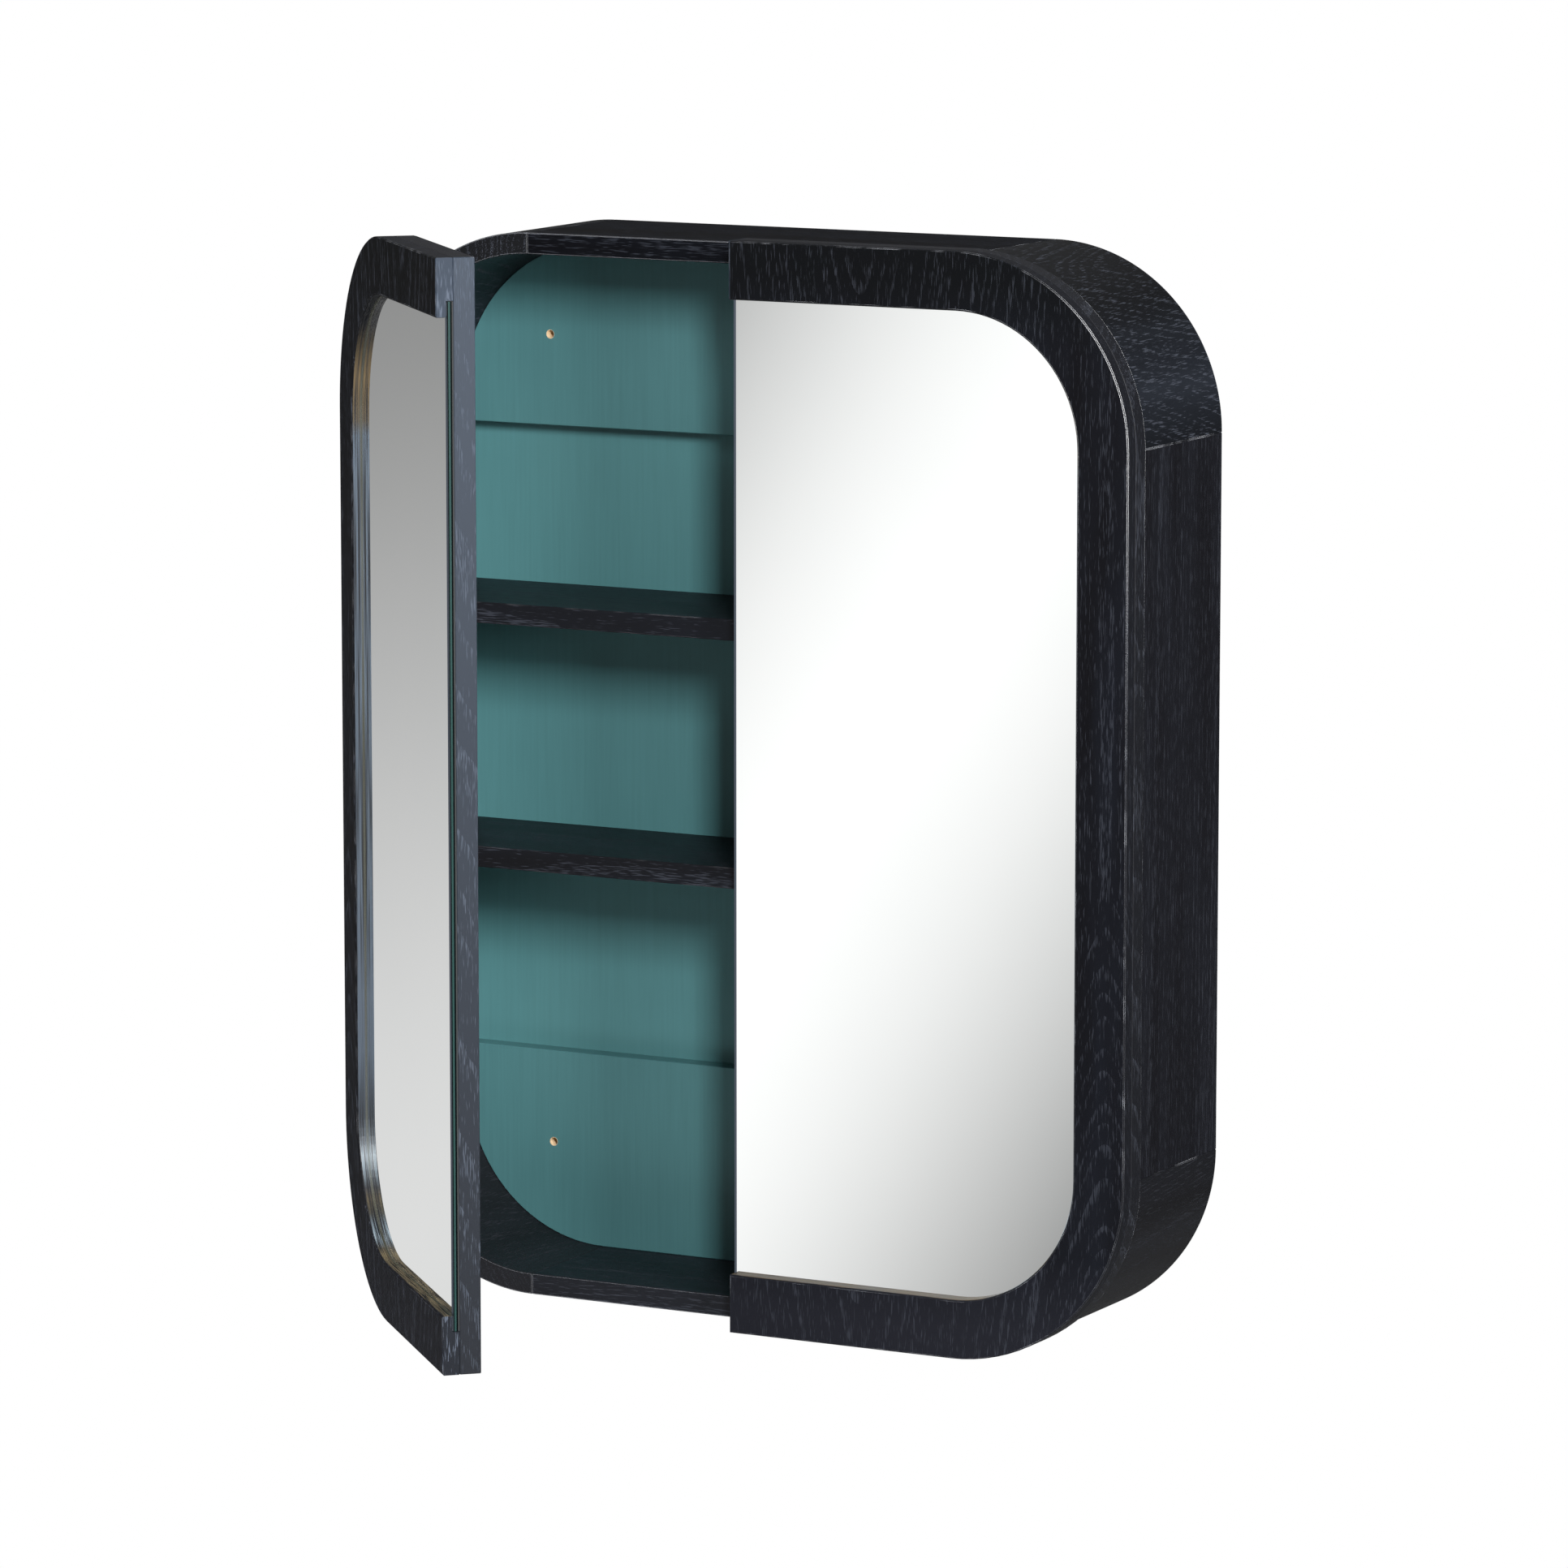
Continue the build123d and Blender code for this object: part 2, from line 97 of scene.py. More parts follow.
def blackened_oak(
    name, grain, ring, leaves, sway, gloss, swing=None, stain=("#050508", "#0c0e14"), filled=0.4,
    shade=(), rubbed=1.0, front=None
):
    """Brushed oak veneer under a blue-black stain and a thin matt lacquer.

    The eye sees a near-black ground with a blue cast, pale dashes where dust and filler sit in
    the open pores, pores crowded along the growth rings, and edges rubbed through to grey.
    grain is the axis that the fibres follow and ring the width of a year's growth. A leaf of veneer
    has the place of the pith of its log, and a taper up to some level, which arches its figure. The
    doors are a matched pair: swing turns each to its shut place, and a second leaf faces the stile.
    filled is how far the pores show, shade lists levels between which the stain goes to another
    tint, as painted shade and painted light by height, rubbed is how far the edges are worn, and
    front is where an even pale front edge begins, partly wear and partly a painted highlight.
    """
    material, tree, shader = new_material(name, Specular_IOR_Level=gloss)
    where = add(tree, "TexCoord").outputs
    place = where["Object"]
    if swing is not None:
        turn = {"Vector": place, "Center": LEFT_PIN, "Angle": swing}
        place = add(tree, "VectorRotate", turn, rotation_type="Z_AXIS").outputs["Vector"]
    axes = add(tree, "SeparateXYZ", {"Vector": place}).outputs
    order = {"X": "YZX", "Y": "ZXY", "Z": "XYZ"}[grain]
    wood = add(tree, "CombineXYZ", {to: axes[of] for to, of in zip("XYZ", order)}).outputs["Vector"]
    if swing is not None:
        wood = {0: wood, 1: (0, 1, 1)}
        wood = add(tree, "VectorMath", wood, operation="MULTIPLY").outputs["Vector"]
        across = add(tree, "Math", {0: axes["X"]}, operation="ABSOLUTE").outputs["Value"]
        aside = add(tree, "CombineXYZ", {"X": across}).outputs["Vector"]
        wood = add(tree, "VectorMath", {0: wood, 1: aside}, operation="ADD").outputs["Vector"]

    # Growth rings that wander every 60 mm across the grain and every 300 mm along it, with spells
    # of wide years and of narrow ones
    slow = add(tree, "Mapping", {"Vector": wood, "Scale": (16, 16, 3.2)}).outputs["Vector"]
    wander = add(tree, "TexNoise", {"Vector": slow, "Scale": 1.0, "Detail": 3.0}).outputs["Color"]
    bent = {0: wander, 1: (sway, sway, 0), 2: wood}
    bent = add(tree, "VectorMath", bent, operation="MULTIPLY_ADD").outputs["Vector"]
    age = None
    stile_from = 250 * MM
    for heart, taper, until in leaves:
        log = {0: bent, 1: (*heart, 0)}
        log = add(tree, "VectorMath", log, operation="SUBTRACT").outputs["Vector"]
        flat = {0: log, 1: (1, 1, 0)}
        flat = add(tree, "VectorMath", flat, operation="MULTIPLY").outputs["Vector"]
        radius = add(tree, "VectorMath", {0: flat}, operation="LENGTH").outputs["Value"]
        along = add(tree, "SeparateXYZ", {"Vector": log}).outputs["Z"]
        along = add(tree, "Math", {0: along, 1: until}, operation="MINIMUM").outputs["Value"]
        grown = {0: along, 1: taper, 2: radius}
        grown = add(tree, "Math", grown, operation="MULTIPLY_ADD").outputs["Value"]
        if age is None:
            age = grown
        else:
            second = {0: across, 1: stile_from}
            second = add(tree, "Math", second, operation="GREATER_THAN").outputs["Value"]
            age = add(tree, "Mix", {0: second, 2: age, 3: grown}, data_type="FLOAT").outputs[0]
    spell = 4 * ring
    years = {"W": age, "Scale": 1 / spell, "Detail": 2.0}
    years = add(tree, "TexNoise", years, noise_dimensions="1D").outputs["Fac"]
    age = {0: years, 1: spell, 2: age}
    age = add(tree, "Math", age, operation="MULTIPLY_ADD").outputs["Value"]
    age = add(tree, "CombineXYZ", {"X": age}).outputs["Vector"]
    period = 0.314  # of a wave texture whose scale is 1
    rings = {"Vector": age, "Scale": period / ring}
    rings = add(tree, "TexWave", rings, wave_type="BANDS", wave_profile="SAW").outputs["Fac"]
    early = {"Value": rings, "From Min": 0.5, "From Max": 0.9}
    early = add(tree, "MapRange", early).outputs["Result"]

    # Stain that took unevenly, in streaks about 30 mm wide and 300 mm long
    broad = add(tree, "Mapping", {"Vector": wood, "Scale": (33, 33, 3.3)}).outputs["Vector"]
    tone = add(tree, "TexNoise", {"Vector": broad, "Scale": 1.0, "Detail": 4.0}).outputs["Fac"]
    tone = {"Value": tone, "From Min": 0.35, "From Max": 0.65}
    tone = add(tree, "MapRange", tone).outputs["Result"]

    # Open pores along the fibres, which bend less than the rings: 0.3 by 3 mm on the real veneer,
    # drawn 0.7 by 10 mm so that they show at all
    fibre = {0: wander, 1: (0.3 * sway, 0.3 * sway, 0), 2: wood}
    fibre = add(tree, "VectorMath", fibre, operation="MULTIPLY_ADD").outputs["Vector"]
    wide, long = 0.7 * MM, 10 * MM
    fine = {"Vector": fibre, "Scale": (1 / wide, 1 / wide, 1 / long)}
    fine = add(tree, "Mapping", fine).outputs["Vector"]
    dash = add(tree, "TexNoise", {"Vector": fine, "Scale": 1.0, "Detail": 1.0}).outputs["Fac"]
    thick = add(tree, "MapRange", {"Value": tone, "To Min": 0.1, "To Max": 0.17}).outputs["Result"]
    crowd = {0: early, 1: thick, 2: dash}
    crowd = add(tree, "Math", crowd, operation="MULTIPLY_ADD").outputs["Value"]
    pore = {"Value": crowd, "From Min": 0.64, "From Max": 0.75}
    pore = add(tree, "MapRange", pore).outputs["Result"]
    ground = {0: tone, 6: linear(stain[0]), 7: linear(stain[1])}
    ground = add(tree, "Mix", ground, data_type="RGBA").outputs[2]
    # Painted shade and painted light: between the levels of each band the ground goes to a darker
    # or lighter tint
    for start, end, tint in shade:
        there = {"Value": axes["Z"], "From Min": start, "From Max": end}
        there = add(tree, "MapRange", there).outputs["Result"]
        ground = {0: there, 6: ground, 7: linear(tint)}
        ground = add(tree, "Mix", ground, data_type="RGBA").outputs[2]
    filler = linear("#474b55")
    if swing is not None:
        # Plain edging glued round the outside, a little greyer than the faces
        middle = 142.5 * MM  # of the door's thickness, measured from the wall
        deep = add(tree, "Math", {0: axes["Y"], 1: middle}, operation="ADD").outputs["Value"]
        deep = add(tree, "Math", {0: deep}, operation="ABSOLUTE").outputs["Value"]
        edging = {"Value": deep, "From Min": 13.2 * MM, "From Max": 12.5 * MM}
        edging = add(tree, "MapRange", edging).outputs["Result"]
        ground = {0: edging, 6: ground, 7: linear("#15161a")}
        ground = add(tree, "Mix", ground, data_type="RGBA").outputs[2]
        # The meeting edges, which hands pull at, are painted slate, more so towards the head, with
        # paler
        # filler in their pores: a painted sheen of light on those faces
        meeting_painted_sheen = {"Value": axes["Z"], "From Min": -400 * MM, "From Max": 400 * MM, "To Min": 0.1}
        meeting_painted_sheen = add(tree, "MapRange", meeting_painted_sheen).outputs["Result"]
        near = {"Value": across, "From Min": 3 * MM, "From Max": 2 * MM}
        near = add(tree, "MapRange", near).outputs["Result"]
        meeting_painted_sheen = add(tree, "Math", {0: meeting_painted_sheen, 1: near}, operation="MULTIPLY").outputs["Value"]
        ground = {0: meeting_painted_sheen, 6: ground, 7: linear("#2f3742")}
        ground = add(tree, "Mix", ground, data_type="RGBA").outputs[2]
        filler = {0: near, 6: filler, 7: linear("#59616e")}
        filler = add(tree, "Mix", filler, data_type="RGBA").outputs[2]
    share = add(tree, "Math", {0: pore, 1: filled}, operation="MULTIPLY").outputs["Value"]
    colour = {0: share, 6: ground, 7: filler}
    colour = add(tree, "Mix", colour, data_type="RGBA").outputs[2]

    # Edges rubbed to grey in broken runs about 20 mm long
    soft = add(tree, "Bevel", {"Radius": 0.6 * MM}, samples=4).outputs["Normal"]
    hard = add(tree, "NewGeometry").outputs["Normal"]
    edge = add(tree, "VectorMath", {0: soft, 1: hard}, operation="DOT_PRODUCT").outputs["Value"]
    edge = {"Value": edge, "From Min": 0.985, "From Max": 0.9}
    edge = add(tree, "MapRange", edge).outputs["Result"]
    bare = linear("#a2a4aa")
    rub = add(tree, "TexNoise", {"Vector": place, "Scale": 45.0, "Detail": 5.0}).outputs["Fac"]
    rub = {"Value": rub, "From Min": 0.48, "From Max": 0.64, "To Max": rubbed}
    rub = add(tree, "MapRange", rub).outputs["Result"]
    # Wear and painted highlight: an even pale line along the front arris of the boards
    if front is not None:
        even = {"Value": axes["Y"], "From Min": front, "From Max": front - 1 * MM, "To Max": 0.8}
        even = add(tree, "MapRange", even).outputs["Result"]
        rub = add(tree, "Math", {0: rub, 1: even}, operation="MAXIMUM").outputs["Value"]
    if swing is not None:
        # The frame sits tight on the back, so that joint isn't worn. The right door's shoulder is
        # worn without a break, and painted nearly white towards the head: a painted highlight
        shoulder_rub_and_highlight = {"Value": axes["X"], "From Min": 225 * MM, "From Max": 275 * MM}
        shoulder_rub_and_highlight = add(tree, "MapRange", shoulder_rub_and_highlight).outputs["Result"]
        lower = {
            "Value": axes["Z"], "From Min": 40 * MM, "From Max": 150 * MM,
            "To Min": 0.15, "To Max": 0.9,
        }
        lower = add(tree, "MapRange", lower).outputs["Result"]
        shoulder_rub_and_highlight = add(tree, "Math", {0: shoulder_rub_and_highlight, 1: lower}, operation="MULTIPLY").outputs["Value"]
        rub = add(tree, "Math", {0: rub, 1: shoulder_rub_and_highlight}, operation="MAXIMUM").outputs["Value"]
        # Painted highlight: above 150 mm the shoulder's pale goes to near white
        pale = {"Value": axes["Z"], "From Min": 150 * MM, "From Max": 260 * MM}
        pale = add(tree, "MapRange", pale).outputs["Result"]
        pale = add(tree, "Math", {0: shoulder_rub_and_highlight, 1: pale}, operation="MULTIPLY").outputs["Value"]
        bare = {0: pale, 6: bare, 7: linear("#f4f5f7")}
        bare = add(tree, "Mix", bare, data_type="RGBA").outputs[2]
        ends = {"Value": deep, "From Min": 9 * MM, "From Max": 11 * MM}
        ends = add(tree, "MapRange", ends).outputs["Result"]
        rub = add(tree, "Math", {0: rub, 1: ends}, operation="MULTIPLY").outputs["Value"]
    # Faces that look into the cabinet aren't handled
    outward = {0: where["Normal"], 1: (1, 0, 1)}
    outward = add(tree, "VectorMath", outward, operation="MULTIPLY").outputs["Vector"]
    outward = {0: outward, 1: where["Object"]}
    outward = add(tree, "VectorMath", outward, operation="DOT_PRODUCT").outputs["Value"]
    touched = {"Value": outward, "From Min": -0.06, "From Max": -0.02}
    touched = add(tree, "MapRange", touched).outputs["Result"]
    rub = add(tree, "Math", {0: rub, 1: touched}, operation="MULTIPLY").outputs["Value"]
    wear_and_highlight = add(tree, "Math", {0: edge, 1: rub}, operation="MULTIPLY").outputs["Value"]
    colour = {0: wear_and_highlight, 6: colour, 7: bare}
    colour = add(tree, "Mix", colour, data_type="RGBA").outputs[2]
    tree.links.new(colour, shader.inputs["Base Color"])

    rough = {"Value": pore, "To Min": 0.46, "To Max": 0.64}
    rough = add(tree, "MapRange", rough).outputs["Result"]
    tree.links.new(rough, shader.inputs["Roughness"])
    height = add(tree, "Math", {0: pore, 1: -1.0}, operation="MULTIPLY").outputs["Value"]
    relief = {"Height": height, "Strength": 0.5, "Distance": 0.15 * MM}
    tree.links.new(add(tree, "Bump", relief).outputs["Normal"], shader.inputs["Normal"])
    return material


year = 3.5 * MM
sway = 12 * MM
front = -124 * MM
upright = [((0.10, 0.20), 0.02, 1.0)]
lengthwise = [((0.25, 0.10), 0.03, 1.0)]
flame = [((0.366, 0.241), -0.2, 1.0)]
crosswise = [((0.05, 0.45), 0.10, 1.0)]
# Painted shade on the upper corner blocks: darker towards the top of their curve and towards the
# joint below
corner_painted_shade = ((285 * MM, 345 * MM, "#040508"), (290 * MM, 250 * MM, "#0d0f13"))
side_oak = blackened_oak(
    "blackened_oak_upright", "Z", year, upright, sway, 0.14,
    stain=("#0d0d11", "#131419"), filled=0.22, front=front,
)
# The top board takes a darker stain than the sides: painted shade
head_oak_painted_shade = blackened_oak(
    "blackened_oak_head", "X", year, lengthwise, sway, 0.04,
    stain=("#040406", "#090b10"), filled=0.25, front=front,
)
# The bottom board takes a lighter stain than the sides: painted light
foot_oak_painted_light = blackened_oak(
    "blackened_oak_foot", "X", year, lengthwise, sway, 0.14,
    stain=("#0a0b0f", "#14161c"), filled=0.3, front=front,
)
# The upper corner blocks take a lighter stain than the lower ones: painted light on their rounded
# faces
corner_oak_painted_light = blackened_oak(
    "blackened_oak_upper_corner", "Y", 5.5 * MM, flame, 30 * MM, 0.14,
    stain=("#14161b", "#22262d"), filled=0.5, shade=corner_painted_shade, front=front,
)
plain_corner_oak = blackened_oak(
    "blackened_oak_lower_corner", "Y", year, crosswise, sway, 0.14,
    stain=("#101013", "#15161a"), filled=0.15, rubbed=0.3, front=front,
)
finish(side_oak, "left_side_panel", "right_side_panel")
finish(head_oak_painted_shade, "top_panel")
finish(foot_oak_painted_light, "bottom_panel")
finish(corner_oak_painted_light, "upper_left_corner", "upper_right_corner")
finish(plain_corner_oak, "lower_left_corner", "lower_right_corner")


# Back panel and hanging rails
# The back is thin board let into the carcass from behind, with a thicker rail across its head and
# foot that the wall screws go through. Both are sprayed with satin teal lacquer over the grain.
def teal_lacquer(name, tones, hole_z=None):
    """Satin spray lacquer on board: even teal, a faint upright grain and a little orange peel.

    Where a wall screw goes through, the bare pale wood shows inside the hole.
    """
    material, tree, shader = new_material(name, Specular_IOR_Level=0.35)
    place = add(tree, "TexCoord").outputs["Object"]
    # Streaks 2.4 mm wide and 70 mm long, and clouds 140 mm across
    streak = add(tree, "Mapping", {"Vector": place, "Scale": (420, 420, 14)}).outputs["Vector"]
    streak = add(tree, "TexNoise", {"Vector": streak, "Scale": 1.0, "Detail": 3.0}).outputs["Fac"]
    cloud = add(tree, "TexNoise", {"Vector": place, "Scale": 7.0, "Detail": 3.0}).outputs["Fac"]
    shift = add(tree, "Math", {0: streak, 1: cloud}, operation="ADD").outputs["Value"]
    shift = {"Value": shift, "From Min": 0.7, "From Max": 1.3}
    shift = add(tree, "MapRange", shift).outputs["Result"]
    colour = {0: shift, 6: linear(tones[0]), 7: linear(tones[1])}
    colour = add(tree, "Mix", colour, data_type="RGBA").outputs[2]
    if hole_z:
        hole_x = 214.5 * MM
        away = add(tree, "VectorMath", {0: place}, operation="ABSOLUTE").outputs["Vector"]
        away = {0: away, 1: (hole_x, 0, abs(hole_z))}
        away = add(tree, "VectorMath", away, operation="SUBTRACT").outputs["Vector"]
        away = {0: away, 1: (1, 0, 1)}
        away = add(tree, "VectorMath", away, operation="MULTIPLY").outputs["Vector"]
        away = add(tree, "VectorMath", {0: away}, operation="LENGTH").outputs["Value"]
        bare = {"Value": away, "From Min": 3.4 * MM, "From Max": 3.0 * MM}
        bare = add(tree, "MapRange", bare).outputs["Result"]
        colour = {0: bare, 6: colour, 7: linear("#e6cda8")}
        colour = add(tree, "Mix", colour, data_type="RGBA").outputs[2]
    tree.links.new(colour, shader.inputs["Base Color"])
    rough = {"Value": cloud, "To Min": 0.42, "To Max": 0.55}
    rough = add(tree, "MapRange", rough).outputs["Result"]
    tree.links.new(rough, shader.inputs["Roughness"])
    peel = {"Vector": place, "Scale": 1 / (1.6 * MM), "Detail": 1.0}
    peel = add(tree, "TexNoise", peel).outputs["Fac"]
    relief = add(tree, "Math", {0: streak, 1: peel}, operation="ADD").outputs["Value"]
    relief = {"Height": relief, "Strength": 0.25, "Distance": 0.08 * MM}
    tree.links.new(add(tree, "Bump", relief).outputs["Normal"], shader.inputs["Normal"])
    return material


finish(teal_lacquer("teal_lacquer", ("#487679", "#4c7c7f")), "back_panel")
# The rails take a darker copy of the back's teal: painted shade
rail_teal_painted_shade = ("#416c6f", "#467376")
finish(teal_lacquer("teal_lacquer_upper_rail", rail_teal_painted_shade, 296 * MM), "upper_hanging_rail")
finish(teal_lacquer("teal_lacquer_lower_rail", rail_teal_painted_shade, -289 * MM), "lower_hanging_rail")


# Shelves
# Two loose boards, veneered and stained like the carcass with the grain along their length.
# Each rests on the tongues of four pins.
inward = [((0.30, 0.05), 0.02, 1.0)]
shelf_oak = blackened_oak("blackened_oak_shelf", "X", year, inward, sway, 0.13, rubbed=0.35)
finish(shelf_oak, "upper_shelf", "lower_shelf")


# Shelf pins and hinge metal
# Pressed and cast steel, nickel plated: the shelf pins push into drilled holes, the hinge plates
# screw to the side boards, and each cranked arm reaches into a cup that is let into a door.
def plated_steel(name, colour, shade, rough):
    """Plated steel: a bright metal with faint clouds of 9 mm and barrel rubs of 0.4 by 4 mm."""
    material, tree, shader = new_material(name, Metallic=1.0)
    mottle(tree, shader, 1 / (9 * MM), 4.0, (shade, colour))
    place = add(tree, "TexCoord").outputs["Object"]
    rubs = add(tree, "Mapping", {"Vector": place, "Scale": (2600, 260, 260)}).outputs["Vector"]
    rubs = add(tree, "TexNoise", {"Vector": rubs, "Scale": 1.0, "Detail": 2.0}).outputs["Fac"]
    dull = rough + 0.14
    gloss = {"Value": rubs, "From Min": 0.3, "From Max": 0.7, "To Min": rough, "To Max": dull}
    tree.links.new(add(tree, "MapRange", gloss).outputs["Result"], shader.inputs["Roughness"])
    relief = {"Height": rubs, "Strength": 0.15, "Distance": 0.03 * MM}
    tree.links.new(add(tree, "Bump", relief).outputs["Normal"], shader.inputs["Normal"])
    return material


nickel = plated_steel("nickel_plated_steel", "#d3cfc6", "#b4b0a6", 0.2)
hinge_names = []
for side in ("left", "right"):
    for height in ("upper", "lower"):
        for part in ("plate", "arm", "cup", "pin"):
            hinge_names.append(f"{side}_{height}_hinge_{part}")
finish(nickel, "shelf_pins", *hinge_names)


# Screws
# Small countersunk steel screws with a cross slot, bright zinc plated with a faint yellow cast.
# They hold the back, the rails, the hinge plates and arms, the cups and the door frames.
zinc = plated_steel("zinc_plated_steel", "#c9c7b8", "#9c9a8c", 0.3)
finish(zinc, "back_panel_screws", "rail_screws", "hinge_plate_screws", "hinge_arm_screws")
for side in ("left", "right"):
    finish(zinc, side + "_cup_screws", side + "_frame_screws")


# Corner dowels
# Fluted beech pegs glued across each butt joint of the carcass, hidden once it is together.
# Steamed beech gives the eye a pink-tan ground with dark flecks of about a millimetre.
beech, tree, shader = new_material("steamed_beech", Roughness=0.6)
fleck = mottle(tree, shader, 900.0, 3.0, ("#b98a5f", "#d8b088"))
relief = {"Height": fleck, "Strength": 0.2, "Distance": 0.05 * MM}
tree.links.new(add(tree, "Bump", relief).outputs["Normal"], shader.inputs["Normal"])
finish(beech, "corner_dowels")


# Door frames and door backs
# Each door is a flat veneered back with a thinner frame screwed on from behind. The frame has an
# upright stile, two rails and round corners, open at the meeting edge, all with upright grain.
OPEN = math.radians(46.5)
arched = [((0.107, -0.17), -0.17, 1.0), ((0.295, -0.159), 0.38, -0.05)]
plain = [((0.15, -0.16), 0.12, 1.0)]
# Painted shade at the head of each door frame and painted light at its foot
tints = ((310 * MM, 360 * MM, "#030406"), (-300 * MM, -360 * MM, "#15161c"))
for side, swing, ring, gloss, filled in (
    ("left", OPEN, 11 * MM, 0.09, 0.7),
    ("right", 0.0, 7 * MM, 0.07, 0.22),
):
    face_oak = blackened_oak(
        "blackened_oak_" + side + "_frame", "Z", ring, arched, 10 * MM, gloss, swing, filled=filled,
        shade=tints,
    )
    finish(face_oak, side + "_door_frame")
    back_oak = blackened_oak(
        "blackened_oak_" + side + "_back", "Z", 6 * MM, plain, sway, 0.14, swing
    )
    finish(back_oak, side + "_door_back")


# Edge bands round the windows
# A strip of veneer edging glued round the inner lip of each frame, stained with the rest, with
# long streaks along it. Its colour by height is painted: slate grey up the sides as a painted
# reflection, pale blue-grey painted highlights near the foot, straw and brown round head and foot.
def window_line(grow, meet):
    """Points in X and Z round the right-hand window, from the meeting edge at its foot upwards."""
    wide = 267 * MM + grow
    high = 340.5 * MM + grow
    corner = 92 * MM + grow
    middle = 0.5 * MM
    steps = 24
    line = [(meet, middle - high)]
    for quarter, up in ((-math.pi / 2, -1), (0.0, 1)):
        for step in range(steps + 1):
            turn = quarter + step / steps * math.pi / 2
            x = wide - corner + corner * math.cos(turn)
            line.append((x, middle + up * (high - corner) + corner * math.sin(turn)))
    line.append((meet, middle + high))
    return line


def door_piece(name, side, points, faces):
    """A mesh drawn on the shut right door, put on either door as that one hangs."""
    if side == "left":
        pin_x, pin_y = LEFT_PIN[:2]
        moved = []
        for x, y, z in points:
            off_x, off_y = -x - pin_x, y - pin_y
            moved.append((
                pin_x + off_x * math.cos(OPEN) + off_y * math.sin(OPEN),
                pin_y - off_x * math.sin(OPEN) + off_y * math.cos(OPEN),
                z,
            ))
        points = moved
        faces = [tuple(reversed(face)) for face in faces]
    mesh = bpy.data.meshes.new(side + name)
    mesh.from_pydata(points, [], faces)
    made = bpy.data.objects.new(side + name, mesh)
    bpy.context.scene.collection.objects.link(made)
    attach(made, side + "_door")
    return made


def lip_edging_painted_light(name, swing, foot):
    """Stained oak edging scraped along its length, its colour holding painted reflections and
    highlights.

    The eye sees slate grey up the straight sides, a painted reflection of the room, pale blue-grey
    bands near the foot, which are painted highlights, straw and brown round the head and along the
    foot, long dark streaks over all of it, and an olive line of dried glue against the glass. foot
    has the two tints along the foot, brown with a pale cream painted highlight on the left door.
    """
    material, tree, shader = new_material(name, Specular_IOR_Level=0.4)
    place = add(tree, "TexCoord").outputs["Object"]
    turn = {"Vector": place, "Center": LEFT_PIN, "Angle": swing}
    place = add(tree, "VectorRotate", turn, rotation_type="Z_AXIS").outputs["Vector"]
    axes = add(tree, "SeparateXYZ", {"Vector": place}).outputs
    # Streaks about a millimetre apart that run 40 mm along the foot and 110 mm up the sides
    lines = add(tree, "Mapping", {"Vector": place, "Scale": (25, 900, 9)}).outputs["Vector"]
    streak = add(tree, "TexNoise", {"Vector": lines, "Scale": 1.0, "Detail": 3.0}).outputs["Fac"]
    streak = {"Value": streak, "From Min": 0.4, "From Max": 0.58}
    streak = add(tree, "MapRange", streak).outputs["Result"]
    level = {"Value": axes["Z"], "From Min": -340 * MM, "From Max": 340 * MM}
    level = add(tree, "MapRange", level).outputs["Result"]
    # Painted reflection and painted highlights by height: slate grey up the sides, pale blue-grey
    # stops near the foot
    lip_colour_painted_light = add(tree, "ValToRGB", {"Fac": level})
    stops = (
        (0.0, foot[0]), (0.006, foot[1]), (0.009, "#2a2c2e"), (0.016, "#93a3ad"),
        (0.026, "#5c6871"), (0.036, "#35332a"), (0.048, "#4f4633"), (0.06, "#20262e"),
        (0.075, "#6f7d87"), (0.09, "#a9b8c2"), (0.105, "#5b6772"), (0.13, "#2f3842"),
        (0.2, "#47525f"), (0.845, "#4d5966"), (0.86, "#4d422f"), (0.905, "#665539"),
        (0.94, "#392f1c"), (0.965, "#16161a"), (1.0, "#0b0c10"),
    )
    for at, _ in stops[2:]:
        lip_colour_painted_light.color_ramp.elements.new(at)
    for stop, (at, tint) in zip(lip_colour_painted_light.color_ramp.elements, stops):
        stop.position = at
        stop.color = linear(tint)
    colour = {0: streak, 6: linear("#101217"), 7: lip_colour_painted_light.outputs["Color"]}
    colour = add(tree, "Mix", colour, data_type="RGBA").outputs[2]
    sealed = {"Value": axes["Y"], "From Min": -150.2 * MM, "From Max": -149.6 * MM, "To Max": 0.7}
    sealed = add(tree, "MapRange", sealed).outputs["Result"]
    colour = {0: sealed, 6: colour, 7: linear("#45463a")}
    colour = add(tree, "Mix", colour, data_type="RGBA").outputs[2]
    tree.links.new(colour, shader.inputs["Base Color"])
    rough = add(tree, "MapRange", {"Value": streak, "To Min": 0.3, "To Max": 0.5}).outputs["Result"]
    tree.links.new(rough, shader.inputs["Roughness"])
    relief = {"Height": streak, "Strength": 0.4, "Distance": 0.1 * MM}
    tree.links.new(add(tree, "Bump", relief).outputs["Normal"], shader.inputs["Normal"])
    if swing:
        # Its own mirror reflects the lip, the other mirror doesn't
        rays = add(tree, "LightPath").outputs
        far = {0: rays["Ray Length"], 1: 60 * MM}
        far = add(tree, "Math", far, operation="GREATER_THAN").outputs["Value"]
        far = {0: far, 1: rays["Is Glossy Ray"]}
        far = add(tree, "Math", far, operation="MULTIPLY").outputs["Value"]
        near = add(tree, "Math", {0: 1.0, 1: far}, operation="SUBTRACT").outputs["Value"]
        tree.links.new(near, shader.inputs["Alpha"])
    return material


